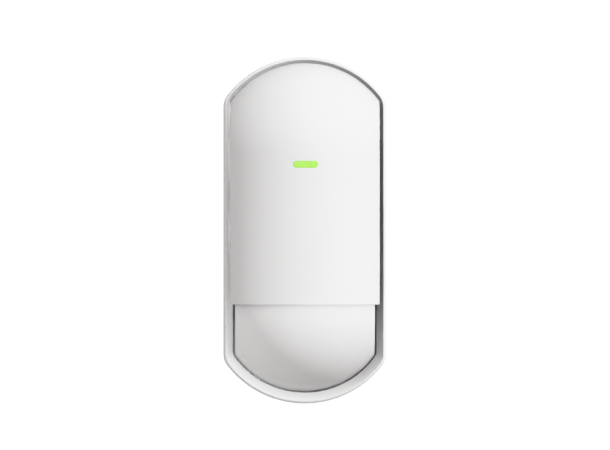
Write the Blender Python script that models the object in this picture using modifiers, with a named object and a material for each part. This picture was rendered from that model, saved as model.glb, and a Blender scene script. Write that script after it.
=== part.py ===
"""Wall-mounted passive infrared motion detector, battery powered.

Frame: metres, +Z up, the wall is the plane Y = 0 and the detector stands out of it towards -Y.
The origin is the middle of the wall face. Left is -X, as seen from in front.
A "depth" is the distance out from the wall, so Y = -depth, and places are given as x, depth, z.
Sizes are in millimetres and are turned into metres where objects are made.
"""

import math

import bmesh
import bpy
from mathutils import Matrix

MM = 0.001

# ---------------------------------------------------------------- driving dimensions, mm
BODY_R = 30.5          # radius of the arcs that end the outline
BODY_HALF_W = 25.35    # half width of the outline
ARC_Z = 23.5           # height of the two arc centres above and below the middle
CORNER_R = 6.3         # corner radius between a straight side and an arc
ARC_STEPS = 12         # segments in a quarter of the outline's arc
CORNER_STEPS = 3       # segments in a corner of the outline
COIL_STEPS = 12        # segments in a turn of a spring
AXIS_D = 10.5          # depth of the capsule's axis
HOOD_R = 28.75
HOOD_BACK_D = 13.3
SENSOR_Z = -ARC_Z
LED_Z = 20.5
LOCK_D = 3.9           # depth of the lock screw's axis
BOARD_BACK_D, BOARD_FRONT_D = 4.9, 6.5
BOARD_MID_D = (BOARD_BACK_D + BOARD_FRONT_D) / 2
ON_BOARD = 6.65        # depth at which parts stand on the board's front
HINGE = (0.0, 7.15, 54.05)
TAMPER_X, TAMPER_Z = 12.5, -7.5
HOOK_XS = (-9.0, 9.0)

# Board fixings: post name, post radius, screw name, x, z
FIXINGS = (
    ("post_top", 2.4, "board_screw_top", 0, 46),
    ("post_low_left", 2.1, "board_screw_left", -13, -42.6),
    ("post_low_right", 2.1, "board_screw_right", 13, -42.6),
)
# Sensor leads: x and z from the sensor's centre
PYRO_LEADS = ((-1.8, 1.8), (1.8, 1.8), (-1.8, -1.8))

# ---------------------------------------------------------------- scene
for old in list(bpy.data.objects):
    bpy.data.objects.remove(old, do_unlink=True)
for extra in list(bpy.data.collections):
    bpy.data.collections.remove(extra)
PARTS = bpy.data.collections.new("motion_detector")
CUTTERS = bpy.data.collections.new("cutters")
bpy.context.scene.collection.children.link(PARTS)
bpy.context.scene.collection.children.link(CUTTERS)


# ---------------------------------------------------------------- materials
def material(name, colour, roughness, metallic=0.0):
    mat = bpy.data.materials.new(name)
    mat.use_nodes = True
    inputs = mat.node_tree.nodes["Principled BSDF"].inputs
    inputs["Base Color"].default_value = (*colour, 1.0)
    inputs["Roughness"].default_value = roughness
    inputs["Metallic"].default_value = metallic
    return mat


MATS = {
    "white": material("moulded_white", colour=(0.84, 0.84, 0.83), roughness=0.42),
    "hood": material("hood_white", colour=(0.86, 0.86, 0.855), roughness=0.38),
    "lens": material("lens_polyethylene", colour=(0.83, 0.83, 0.82), roughness=0.35),
    "green": material("light_guide_green", colour=(0.42, 0.84, 0.15), roughness=0.25),
    "grey": material("moulded_grey", colour=(0.30, 0.31, 0.32), roughness=0.5),
    "board": material("board_green", colour=(0.03, 0.22, 0.10), roughness=0.45),
    "black": material("black_plastic", colour=(0.03, 0.03, 0.035), roughness=0.5),
    "steel": material("steel", colour=(0.62, 0.62, 0.63), roughness=0.28, metallic=1.0),
    "filter": material(
        "infrared_filter", colour=(0.05, 0.05, 0.06), roughness=0.12, metallic=0.4
    ),
    "mirror": material("chromed", colour=(0.8, 0.8, 0.8), roughness=0.06, metallic=1.0),
    "cell": material("cell_sleeve", colour=(0.13, 0.30, 0.50), roughness=0.35),
    "foam": material("foam", colour=(0.05, 0.05, 0.05), roughness=0.9),
    "red": material("switch_red", colour=(0.60, 0.06, 0.05), roughness=0.4),
    "bare": material("switch_white", colour=(0.85, 0.85, 0.84), roughness=0.4),
}

# ---------------------------------------------------------------- solids
# Without a material, a solid is a hidden helper for a boolean.
TURNS = {"z": Matrix.Identity(4), "y": Matrix.Rotation(math.radians(90), 4, "X")}


def link(name, mesh, mat, at=(0, 0, 0)):
    """One named object holding this mesh, at x, depth, z."""
    obj = bpy.data.objects.new(name, mesh)
    obj.location = (at[0] * MM, -at[1] * MM, at[2] * MM)
    if mat:
        mesh.materials.append(MATS[mat])
        PARTS.objects.link(obj)
    else:
        CUTTERS.objects.link(obj)
        obj.hide_render = True
        obj.display_type = "WIRE"
    return obj


def finish(work, name):
    """Turn a bmesh into a mesh with its normals facing out."""
    bmesh.ops.recalc_face_normals(work, faces=work.faces)
    mesh = bpy.data.meshes.new(name)
    work.to_mesh(mesh)
    work.free()
    return mesh


def around(centre, half):
    """The two ends of a span with this centre and half length."""
    return (centre - half, centre + half)


def box(name, x, depth, z, mat=None, bevel=0.0):
    """A block between the two ends given along each direction."""
    spans = (x, depth, z)
    work = bmesh.new()
    bmesh.ops.create_cube(work, size=1.0)
    size = [abs(span[1] - span[0]) * MM for span in spans]
    bmesh.ops.scale(work, vec=size, verts=work.verts)
    obj = link(name, finish(work, name), mat, [(span[0] + span[1]) / 2 for span in spans])
    if bevel:
        edges = obj.modifiers.new("edges", "BEVEL")
        edges.width = bevel * MM
        edges.segments = 1
    return obj


def rod(name, axis, centre, radius, length, mat=None, segs=24, end_radius=None):
    """A cylinder, or a cone when end_radius is given. Axis y runs out of the wall."""
    work = bmesh.new()
    bmesh.ops.create_cone(
        work,
        cap_ends=True,
        segments=segs,
        radius1=radius * MM,
        radius2=(radius if end_radius is None else end_radius) * MM,
        depth=length * MM,
    )
    bmesh.ops.transform(work, matrix=TURNS[axis], verts=work.verts)
    return link(name, finish(work, name), mat, centre)


def loft(name, sections, mat=None, closed=False):
    """A skin through (outline, depth) sections. Closed joins the last to the first."""
    work = bmesh.new()
    rings = [
        [work.verts.new((x * MM, -depth * MM, z * MM)) for x, z in points]
        for points, depth in sections
    ]
    followers = rings[1:] + rings[:1] if closed else rings[1:]
    count = len(rings[0])
    for ring, after in zip(rings, followers):
        for i in range(count):
            j = (i + 1) % count
            work.faces.new((ring[i], ring[j], after[j], after[i]))
    if not closed:
        work.faces.new(rings[0])
        work.faces.new(list(reversed(rings[-1])))
    return link(name, finish(work, name), mat)


def plate(name, points, back, front, mat=None):
    """A flat outline of (x, z) points, filled as a 2D curve between two depths."""
    curve = bpy.data.curves.new(name, "CURVE")
    curve.dimensions = "2D"
    curve.fill_mode = "BOTH"
    curve.extrude = abs(front - back) / 2 * MM
    spline = curve.splines.new("POLY")
    spline.points.add(len(points) - 1)
    for point, (x, z) in zip(spline.points, points):
        point.co = (x * MM, z * MM, 0, 1)
    spline.use_cyclic_u = True
    source = bpy.data.objects.new(name + "_curve", curve)
    CUTTERS.objects.link(source)
    bpy.context.view_layer.update()
    depsgraph = bpy.context.evaluated_depsgraph_get()
    filled = bpy.data.meshes.new_from_object(source.evaluated_get(depsgraph))
    bpy.data.objects.remove(source, do_unlink=True)
    work = bmesh.new()
    work.from_mesh(filled)
    bpy.data.meshes.remove(filled)
    bmesh.ops.remove_doubles(work, verts=work.verts, dist=1e-6)
    bmesh.ops.transform(work, matrix=TURNS["y"], verts=work.verts)
    bmesh.ops.translate(work, vec=(0, -(back + front) / 2 * MM, 0), verts=work.verts)
    return link(name, finish(work, name), mat)


def turned(name, profile, axis, at, segs, mat=None):
    """A turned solid from (radius, along) points that start and end on the axis."""
    mesh = bpy.data.meshes.new(name)
    verts = [(radius * MM, 0, along * MM) for radius, along in profile]
    mesh.from_pydata(verts, [(i, i + 1) for i in range(len(profile) - 1)], [])
    obj = link(name, mesh, mat, at)
    obj.rotation_euler = TURNS[axis].to_euler()
    screw = obj.modifiers.new("turn", "SCREW")
    screw.axis = "Z"
    screw.steps = screw.render_steps = segs
    screw.use_merge_vertices = True
    screw.merge_threshold = 0.00001
    return obj


def wire(name, points, radius, mat):
    """A round bent wire with closed ends, through (x, depth, z) points."""
    curve = bpy.data.curves.new(name, "CURVE")
    curve.dimensions = "3D"
    curve.bevel_depth = radius * MM
    curve.bevel_resolution = 2
    curve.use_fill_caps = True
    spline = curve.splines.new("POLY")
    spline.points.add(len(points) - 1)
    for point, (x, depth, z) in zip(spline.points, points):
        point.co = (x * MM, -depth * MM, z * MM, 1)
    curve.materials.append(MATS[mat])
    PARTS.objects.link(bpy.data.objects.new(name, curve))


def boolean(obj, operation, others):
    for other in others:
        modifier = obj.modifiers.new(operation.lower() + "_" + other.name, "BOOLEAN")
        modifier.operation = operation
        modifier.object = other
        modifier.solver = "EXACT"


def cut(obj, *others):
    boolean(obj, "DIFFERENCE", others)


def join(obj, *others):
    boolean(obj, "UNION", others)


def keep(obj, other):
    boolean(obj, "INTERSECT", [other])


# ---------------------------------------------------------------- outlines and profiles
def arc_points(radius, start, end, steps):
    """Points on an arc about the origin, between two angles in degrees."""
    angles = [math.radians(start + (end - start) * i / steps) for i in range(steps + 1)]
    return [(radius * math.cos(angle), radius * math.sin(angle)) for angle in angles]


def outline(radius, half_w, corner):
    """(x, z) points: straight sides, an arc at each end, a rounded corner between them."""
    corner_x = half_w - corner
    rise = math.sqrt((radius - corner) ** 2 - corner_x**2)
    turn = math.atan2(rise, corner_x)
    quarter = []
    for i in range(CORNER_STEPS):
        angle = turn * i / CORNER_STEPS
        x = corner_x + corner * math.cos(angle)
        quarter.append((x, ARC_Z + rise + corner * math.sin(angle)))
    for i in range(ARC_STEPS + 1):
        angle = turn + (math.pi / 2 - turn) * i / ARC_STEPS
        quarter.append((radius * math.cos(angle), ARC_Z + radius * math.sin(angle)))
    top = quarter + [(-x, z) for x, z in reversed(quarter[:-1])]
    return top + [(-x, -z) for x, z in top]


def shell_outline(offset, side_offset=0.0):
    """The body's outline moved in by offset, its straight sides by side_offset more."""
    half_w = BODY_HALF_W - offset - side_offset
    return outline(BODY_R - offset, half_w, max(CORNER_R - offset, 0.4))


def pill(half_length, radius, z_centre):
    """(x, z) points of a slot shape lying along x, with round ends."""
    reach = half_length - radius
    right = [(x + reach, z + z_centre) for x, z in arc_points(radius, -90, 90, 8)]
    return right + [(x - reach, z + z_centre) for x, z in arc_points(radius, 90, 270, 8)]


def dome_profile(radius, centre, end, steps):
    """(radius, along) points: a quarter circle from the tip, then straight to the end."""
    angles = [math.radians(90 * i / steps) for i in range(steps + 1)]
    arc = [(radius * math.sin(angle), centre + radius * math.cos(angle)) for angle in angles]
    return arc + [(radius, end), (0.0, end)]


def helix(turns):
    """(cosine, sine, fraction of the way along) for each point of a coil."""
    steps = turns * COIL_STEPS
    angles = [2 * math.pi * i / COIL_STEPS for i in range(steps + 1)]
    return [(math.cos(angle), math.sin(angle), i / steps) for i, angle in enumerate(angles)]


# ---------------------------------------------------------------- rear base: tray on the wall
BASE_FLOOR, BASE_WALL, BASE_D = 1.8, 1.6, 7.0
CHAMFER = 4.5              # 45 degree corner-mounting faces along the straight sides
INNER_CHAMFER_D = 5.1      # depth where the chamfer starts on the inside
WALL_HOLE_R, WALL_HOLE_Z = 2.1, 30.0

base = loft(
    "rear_base",
    [
        (shell_outline(0, CHAMFER), 0.0),
        (shell_outline(0), CHAMFER),
        (shell_outline(0), BASE_D),
        (shell_outline(BASE_WALL), BASE_D),
        (shell_outline(BASE_WALL), INNER_CHAMFER_D),
        (shell_outline(BASE_WALL, INNER_CHAMFER_D - BASE_FLOOR), BASE_FLOOR),
    ],
    "white",
)
join(
    base,
    box("lock_boss", x=around(0, 3.0), depth=(1.2, 6.2), z=(-49.7, -46.7)),
    box("lock_pad", x=around(0, 5.0), depth=(1.2, 6.6), z=(-53.0, -51.8)),
)
cut(
    base,
    rod("lock_counterbore", "z", (0, LOCK_D, -53.75), radius=2.45, length=2.5),
    rod("lock_clearance", "z", (0, LOCK_D, -51.0), radius=1.45, length=12.0),
    rod("wall_hole_low", "y", (0, 1.0, -WALL_HOLE_Z), radius=WALL_HOLE_R, length=4.0),
    plate("wall_slot_top", pill(4.3, WALL_HOLE_R, WALL_HOLE_Z), back=-1.0, front=3.0),
    rod("tamper_hole", "y", (TAMPER_X, 1.0, TAMPER_Z), radius=1.8, length=4.0, segs=20),
)
# Holes square to the chamfered faces
for side in (-1, 1):
    for high in (-1, 1):
        centre = (side * 22.7, 2.65, high * 24.0)
        drill = rod(f"corner_hole_{side}_{high}", "z", centre, radius=1.7, length=5.0, segs=16)
        drill.rotation_euler = (math.radians(90), 0, math.radians(-side * 45))
        cut(base, drill)

# ---------------------------------------------------------------- front case: the rim
CASE_BACK_D, RIM_D = 7.3, 14.5
CASE_WALL = 1.6
LIP_INSET, LIP_BACK_D = 3.45, 9.2   # inner edge of the sloping face, and its underside
FORK_SLOT_HALF_W = 1.6

case = loft(
    "front_case",
    [
        (shell_outline(0.0), CASE_BACK_D),
        (shell_outline(0.0), 13.75),
        (shell_outline(0.2), 14.25),
        (shell_outline(0.65), RIM_D),
        (shell_outline(0.95), 14.45),
        (shell_outline(LIP_INSET, -0.5), 10.2),
        (shell_outline(LIP_INSET, -0.5), LIP_BACK_D),
        (shell_outline(CASE_WALL), LIP_BACK_D),
        (shell_outline(CASE_WALL), CASE_BACK_D),
    ],
    "white",
    closed=True,
)
for x in HOOK_XS:
    join(
        case,
        box(f"hook_bridge_{x}", x=around(x, 1.6), depth=(7.35, 7.95), z=(49.0, 51.8)),
        box(f"hook_{x}", x=around(x, 1.6), depth=(4.0, 7.8), z=(49.0, 50.1)),
    )
join(
    case,
    box("fork_bridge", x=around(0, 4), depth=(7.35, 7.9), z=(-53.2, -50.2)),
    box("fork_plate", x=around(0, 4), depth=(2.4, 7.8), z=(-51.5, -50.2)),
)
cut(
    case,
    box("fork_slot", x=around(0, FORK_SLOT_HALF_W), depth=(0.0, LOCK_D), z=(-52.0, -49.0)),
    rod("fork_slot_end", "z", (0, LOCK_D, -51.0), radius=FORK_SLOT_HALF_W, length=2.6),
)

# ---------------------------------------------------------------- hood
# A cylinder with a domed top and flat sides, open at the back and bottom
HOOD_HALF_W, HOOD_WALL = 23.3, 1.4
HOOD_LOW_Z = -23.0     # the straight lower edge
CLIP_INNER_X = 20.9


def bullet(name, radius, low, mat=None):
    """An upright cylinder with a domed top."""
    profile = dome_profile(radius, ARC_Z, low, steps=8)
    return turned(name, profile, "z", (0, AXIS_D, 0), 48, mat)


hood = bullet("hood", HOOD_R, -40.0, "hood")
hood_slab = box(
    "hood_slab", x=around(0, HOOD_HALF_W), depth=(HOOD_BACK_D, 45), z=(HOOD_LOW_Z, 60)
)
keep(hood, hood_slab)
cavity = bullet("hood_cavity", HOOD_R - HOOD_WALL, -41.0)
keep(cavity, box("hood_cavity_slab", x=around(0, 22.05), depth=(5, 44), z=(-38, 59)))
cut(hood, cavity)
for side in (-1, 1):
    for z in (12.0, 31.0):
        inner = side * CLIP_INNER_X
        clip_x, root_x = (inner, side * 21.9), (inner, side * 22.6)
        join(
            hood,
            box(f"clip_{side}_{z}", x=clip_x, depth=(8.4, 20.0), z=around(z, 3)),
            box(f"clip_root_{side}_{z}", x=root_x, depth=(13.7, 19.6), z=around(z, 2.8)),
        )
cut(hood, plate("window_cut", pill(3.9, 1.1, LED_Z), back=34, front=42))

# ---------------------------------------------------------------- light guide
STEM_BACK_D, STEM_FRONT_D = 7.75, 36.4
GUIDE_FACE_R = HOOD_R - 0.1    # the guide's face, just inside the hood's outer surface

guide = plate("light_guide", pill(4.3, 1.6, LED_Z), back=36.0, front=36.9, mat="green")
join(
    guide,
    plate("guide_window", pill(3.8, 1.0, LED_Z), back=36.5, front=40.0),
    rod(
        "guide_stem",
        "y",
        (0, (STEM_BACK_D + STEM_FRONT_D) / 2, LED_Z),
        radius=1.2,
        length=STEM_FRONT_D - STEM_BACK_D,
        segs=16,
    ),
)
face_profile = [(0, 60), (GUIDE_FACE_R, 60), (GUIDE_FACE_R, -10), (0, -10)]
keep(guide, turned("guide_face", face_profile, "z", (0, AXIS_D, 0), 96))

# ---------------------------------------------------------------- lens
# A dome cut flat at the sides, with a skirt and a flange
LENS_R, LENS_HALF_W, LENS_WALL = 26.6, 21.75, 0.8


def dome(name, radius, back, mat=None):
    """A dome facing out of the wall, on a straight skirt."""
    profile = dome_profile(radius, AXIS_D, back, steps=9)
    return turned(name, profile, "y", (0, 0, SENSOR_Z), 40, mat)


lens = dome("lens", LENS_R, 8.4, "lens")
keep(lens, box("lens_slab", x=around(0, LENS_HALF_W), depth=(0, 45), z=(-60, 10)))
flange = rod("lens_flange", "y", (0, 8.5, SENSOR_Z), radius=28.2, length=0.8, segs=56)
keep(flange, box("flange_slab", x=around(0, 23.05), depth=(0, 12), z=(-60, 10)))
join(lens, flange)
hollow = dome("lens_hollow", LENS_R - LENS_WALL, 2.0)
hollow_x = around(0, LENS_HALF_W - LENS_WALL)
keep(hollow, box("lens_hollow_slab", x=hollow_x, depth=(-5, 44), z=(-59, 9)))
cut(lens, hollow)

# ---------------------------------------------------------------- chassis
# The plate that traps the lens and carries the board
CHASSIS_BACK_D, CHASSIS_FRONT_D = 6.9, 7.9
CHASSIS_MID_D = (CHASSIS_BACK_D + CHASSIS_FRONT_D) / 2
POST_LENGTH = 4.1
UPPER_HALF_W, UPPER_LOW_Z = 20.1, 5.0

chassis = plate(
    "chassis", outline(28.4, 23.2, 4.2), CHASSIS_BACK_D, CHASSIS_FRONT_D, "grey"
)
for post, radius, _, x, z in FIXINGS:
    centre = (x, CHASSIS_BACK_D + POST_LENGTH / 2, z)
    join(chassis, rod(post, "y", centre, radius, POST_LENGTH, segs=20))

opening = rod("lens_opening", "y", (0, CHASSIS_MID_D, SENSOR_Z), 24.2, length=3.0, segs=48)
keep(opening, box("opening_slab", x=around(0, 20), depth=(4, 12), z=(-60, 10)))
for _, _, _, x, z in FIXINGS[1:]:
    centre = (x, CHASSIS_MID_D, z)
    cut(opening, rod(f"post_guard_{x}", "y", centre, radius=2.6, length=6.0, segs=20))

window = [(UPPER_HALF_W, UPPER_LOW_Z)]
window += [(x, ARC_Z + z) for x, z in arc_points(25.2, 37.2, 142.8, 14)]
window += [(-UPPER_HALF_W, UPPER_LOW_Z)]
upper = plate("upper_opening", window, back=6.0, front=9.0)
cut(upper, box("post_guard_top", x=around(0, 3.0), depth=(4.0, 11.0), z=(43.2, 56.0)))

cut(chassis, opening, upper)
for x in HOOK_XS:
    cut(chassis, box(f"hook_notch_{x}", x=around(x, 1.9), depth=(6, 9), z=(48.7, 56)))
cut(chassis, box("fork_notch", x=around(0, 4.7), depth=(6, 9), z=(-56, -49.6)))
for i, (_, _, _, x, z) in enumerate(FIXINGS):
    cut(chassis, rod(f"pilot_{i}", "y", (x, 8.0, z), radius=1.2, length=4.0, segs=16))


# ---------------------------------------------------------------- main board
def board_hole(name, x, z, radius, segs=16):
    cut(board, rod(name, "y", (x, BOARD_MID_D, z), radius, length=4.0, segs=segs))


board = plate("main_board", outline(26.0, 22.3, 3.0), BOARD_BACK_D, BOARD_FRONT_D, "board")
cut(board, box("board_notch", x=around(0, 4.5), depth=(3, 8), z=(-56, -46.2)))
for i, (_, _, _, x, z) in enumerate(FIXINGS):
    board_hole(f"board_hole_{i}", x, z, radius=1.3)
board_hole("board_tamper_hole", TAMPER_X, TAMPER_Z, radius=1.5)
for i, (x, z) in enumerate(PYRO_LEADS):
    board_hole(f"lead_hole_{i}", x, SENSOR_Z + z, radius=0.5, segs=8)

# ---------------------------------------------------------------- board screws
# radius, depth
BOARD_SCREW = [(0, 9.4), (1.0, 9.0), (1.0, 4.75), (2.1, 4.75), (1.9, 3.7), (0, 3.5)]
DRIVE_D = (3.0, 4.2)

for i, (_, _, name, x, z) in enumerate(FIXINGS):
    cut(
        turned(name, BOARD_SCREW, "y", (x, 0, z), 20, "steel"),
        box(f"drive_a_{i}", x=around(x, 1.2), depth=DRIVE_D, z=around(z, 0.3)),
        box(f"drive_b_{i}", x=around(x, 0.3), depth=DRIVE_D, z=around(z, 1.2)),
    )

# ---------------------------------------------------------------- pyroelectric sensor
can = rod("pyro_sensor_can", "y", (0, 9.25, SENSOR_Z), 4.15, 4.5, "steel", segs=28)
join(can, rod("pyro_flange", "y", (0, 7.15, SENSOR_Z), radius=4.6, length=0.7, segs=28))
for i, (x, z) in enumerate(PYRO_LEADS):
    centre = (x, 5.6, SENSOR_Z + z)
    join(can, rod(f"pyro_lead_{i}", "y", centre, radius=0.25, length=3.2, segs=8))
cut(can, box("pyro_recess", x=around(0, 2.5), depth=(10.6, 13), z=around(SENSOR_Z, 2.0)))
box("pyro_window", around(0, 2.35), (10.75, 11.35), around(SENSOR_Z, 1.85), "filter")

# Foam cone around the sensor, narrower at the front
SHROUD_AT = (0, 8.2, SENSOR_Z)
shroud = rod("sensor_shroud", "y", SHROUD_AT, 8.6, 2.9, "foam", segs=32, end_radius=7.4)
cut(shroud, rod("shroud_bore", "y", SHROUD_AT, radius=4.9, length=5.0, segs=32))

# ---------------------------------------------------------------- creep mirror
MIRROR_D, MIRROR_Z, MIRROR_TILT = 11.6, -36.5, 38

# Built about its own centre, then tilted in place
mirror = box("creep_mirror", around(0, 7), around(0, 0.4), around(0, 4), "mirror")
mirror.location = (0, -MIRROR_D * MM, MIRROR_Z * MM)
mirror.rotation_euler = (math.radians(MIRROR_TILT), 0, 0)
for x in (-5.2, 5.2):
    leg_x = around(x, 0.8)
    join(mirror, box(f"mirror_leg_{x}", x=leg_x, depth=(ON_BOARD, 11.4), z=(-37.4, -35.9)))

# ---------------------------------------------------------------- battery
CELL_X, CELL_D, CELL_R = -10.6, 16.1, 7.8
CELL_LOW_Z, CELL_BODY_Z, CELL_TIP_Z = 9.5, 35.7, 36.5
CELL_EDGE = 0.5            # chamfer on the cell's ends
CRADLE_LOW_Z, CRADLE_HIGH_Z = 5.3, 38.3
CRADLE_END = 1.2           # thickness of the end walls
TROUGH_LOW_Z, TROUGH_HIGH_Z = CRADLE_LOW_Z + CRADLE_END, CRADLE_HIGH_Z - CRADLE_END

cradle = box(
    "battery_cradle", (-19.6, -1.7), (ON_BOARD, 13.9), (CRADLE_LOW_Z, CRADLE_HIGH_Z), "grey"
)
end_x = around(CELL_X, 4.9)
join(
    cradle,
    box("end_low", x=end_x, depth=(8, 19.4), z=(CRADLE_LOW_Z, TROUGH_LOW_Z)),
    box("end_high", x=end_x, depth=(8, 19.4), z=(TROUGH_HIGH_Z, CRADLE_HIGH_Z)),
)
cut(
    cradle,
    rod(
        "cell_trough",
        "z",
        (CELL_X, CELL_D, (TROUGH_LOW_Z + TROUGH_HIGH_Z) / 2),
        radius=CELL_R + 0.25,
        length=TROUGH_HIGH_Z - TROUGH_LOW_Z,
        segs=40,
    ),
    box("finger_gap", x=(-22, -14), depth=(9.5, 16), z=(15, 28)),
)

# radius, z
cell_profile = [
    (0, CELL_TIP_Z),
    (3.0, CELL_TIP_Z),
    (3.0, CELL_BODY_Z),
    (CELL_R - CELL_EDGE, CELL_BODY_Z),
    (CELL_R, CELL_BODY_Z - CELL_EDGE),
    (CELL_R, CELL_LOW_Z + CELL_EDGE),
    (CELL_R - CELL_EDGE, CELL_LOW_Z),
    (0, CELL_LOW_Z),
]
turned("battery_cell", cell_profile, "z", (CELL_X, CELL_D, 0), 40, "cell")

# Strip over the upper end wall: cell side, bridge and board side
contact_x = around(CELL_X, 3.4)
contact = box("battery_contact", contact_x, (12.0, 20.0), (36.65, 36.95), "steel")
join(
    contact,
    box("contact_bridge", x=contact_x, depth=(19.6, 20.0), z=(36.7, 38.9)),
    box("contact_leg", x=contact_x, depth=(ON_BOARD, 20.0), z=(38.5, 38.9)),
)

# Conical spring, narrowing and centring on the cell as it rises
coil = []
for cosine, sine, along in helix(4):
    radius = 4.2 - 1.6 * along
    depth = CELL_D - 1.2 * (1 - along) + radius * sine
    coil.append((CELL_X + radius * cosine, depth, 6.95 + 2.05 * along))
wire("battery_spring", coil, 0.28, "steel")

# ---------------------------------------------------------------- radio and antenna
ANTENNA_R, ANTENNA_D = 18.6, 12.1

box("radio_board", (4.0, 18.0), (ON_BOARD, 7.45), (6.8, 16.8), "board")
box("radio_shield", (5.4, 16.0), (7.6, 9.8), (8.0, 15.6), "steel", bevel=0.35)
run = [
    (17.2, 7.9, 9.5),
    (17.2, 10.6, 9.5),
    (ANTENNA_R, ANTENNA_D, 12.0),
    (ANTENNA_R, ANTENNA_D, ARC_Z),
]
run += [(x, ANTENNA_D, ARC_Z + z) for x, z in arc_points(ANTENNA_R, 10, 104, 12)]
wire("antenna", run, 0.4, "steel")

# ---------------------------------------------------------------- switches
DIP_FIRST_Z, DIP_PITCH = 27.3, 2.6
LEARN_X, LEARN_Z = 14, 21

dip = box("dip_switch_body", (10.0, 16.0), (ON_BOARD, 10.0), (25.4, 37.0), "red")
for i in range(4):
    z = DIP_FIRST_Z + DIP_PITCH * i
    cut(dip, box(f"dip_slot_{i}", x=(11.5, 14.5), depth=(8.8, 11), z=around(z, 0.65)))
    box(f"dip_slider_{i + 1}", (11.62, 12.92), (8.95, 10.9), around(z, 0.5), "bare")

learn_x, learn_z = around(LEARN_X, 3.0), around(LEARN_Z, 3.0)
learn = box("learn_switch_body", learn_x, (ON_BOARD, 10.2), learn_z, "black", bevel=0.3)
cut(learn, rod("learn_bore", "y", (LEARN_X, 10.5, LEARN_Z), 1.85, length=3.2, segs=20))
rod("learn_button", "y", (LEARN_X, 10.75, LEARN_Z), 1.7, 2.5, "bare", segs=20)

# ---------------------------------------------------------------- small components
box("status_led", around(0, 0.8), (ON_BOARD, 7.35), around(LED_Z, 0.5), "bare")
# radius, depth
capacitor_profile = [(0, 14.2), (2.2, 14.2), (2.5, 13.9), (2.5, ON_BOARD), (0, ON_BOARD)]
turned("reservoir_capacitor", capacitor_profile, "y", (6.0, 0, 32.0), 24, "black")
# On the back of the board
box("microcontroller", (-11.5, -4.5), (3.6, 4.75), (-6.0, 1.0), "black", bevel=0.2)
box("crystal", (-2.0, 2.4), (3.5, 4.75), (-4.0, -0.8), "steel", bevel=0.4)


# ---------------------------------------------------------------- tamper switch
# Housing, spring and the pin that reaches the wall
PLUNGER_FLANGE_D = 8.9


def tamper_rod(name, depth, radius, length, mat=None, segs=24):
    return rod(name, "y", (TAMPER_X, depth, TAMPER_Z), radius, length, mat, segs)


housing = tamper_rod("tamper_housing", 9.45, 3.3, 5.6, "black")
cut(housing, tamper_rod("tamper_bore", 8.0, 2.45, 6.6))
plunger = tamper_rod("tamper_plunger", 4.35, 1.1, 8.5, "bare", segs=16)
join(plunger, tamper_rod("plunger_flange", PLUNGER_FLANGE_D, 2.2, 0.9))
coil = [
    (TAMPER_X + 1.75 * cosine, 9.7 + 1.25 * along, TAMPER_Z + 1.75 * sine)
    for cosine, sine, along in helix(3)
]
wire("tamper_spring", coil, 0.2, "steel")

# ---------------------------------------------------------------- lock screw, in the base's bottom
# radius, z
LOCK_SCREW = [
    (0, -47.0), (1.0, -47.2), (1.25, -47.6), (1.25, -52.65),
    (2.2, -52.65), (2.2, -53.7), (0, -53.7),
]
LOCK_DRIVE_Z = (-54.5, -53.1)

cut(
    turned("lock_screw", LOCK_SCREW, "z", (0, LOCK_D, 0), 24, "steel"),
    box("lock_drive_a", x=around(0, 1.5), depth=around(LOCK_D, 0.3), z=LOCK_DRIVE_Z),
    box("lock_drive_b", x=around(0, 0.3), depth=around(LOCK_D, 1.5), z=LOCK_DRIVE_Z),
)


# ---------------------------------------------------------------- joints
# An empty on each axis is the parent of what moves with it
def axis_empty(name, at):
    empty = bpy.data.objects.new(name, None)
    empty.empty_display_size = 0.01
    empty.location = (at[0] * MM, -at[1] * MM, at[2] * MM)
    PARTS.objects.link(empty)
    return empty


def hang(child, parent):
    """Parent without moving the child."""
    child.parent = parent
    child.matrix_parent_inverse = parent.matrix_world.inverted()


swing = axis_empty("swing_axis", HINGE)
hood_axis = axis_empty("hood_axis", (0, HOOD_BACK_D, 14.5))
cell_axis = axis_empty("cell_axis", (CELL_X, CELL_D, (CELL_LOW_Z + CELL_TIP_Z) / 2))
tamper_axis = axis_empty("tamper_axis", (TAMPER_X, PLUNGER_FLANGE_D, TAMPER_Z))
bpy.context.view_layer.update()
for axis in (hood_axis, cell_axis, tamper_axis):
    hang(axis, swing)
bpy.context.view_layer.update()

STAYS_ON_WALL = ("rear_base", "lock_screw")
RIDES = {
    "hood": hood_axis,
    "light_guide": hood_axis,
    "battery_cell": cell_axis,
    "tamper_plunger": tamper_axis,
}
for obj in list(PARTS.objects):
    if obj.type != "EMPTY" and obj.name not in STAYS_ON_WALL:
        hang(obj, RIDES.get(obj.name, swing))

# ---------------------------------------------------------------- shading
for obj in PARTS.objects:
    if obj.type == "MESH":
        for polygon in obj.data.polygons:
            polygon.use_smooth = True
        obj.data.set_sharp_from_angle(angle=math.radians(30))
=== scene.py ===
"""Wall motion detector: fine surfaces, materials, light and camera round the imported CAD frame.

Blender works in metres, +Z up. The wall is the plane Y = 0 and the detector stands out
towards -Y, with +X on the right as seen from the camera.
The helpers take millimetres as x, depth (distance out from the wall) and z.
"""

import math

import bmesh
import bpy
from mathutils import Matrix, Vector


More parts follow.
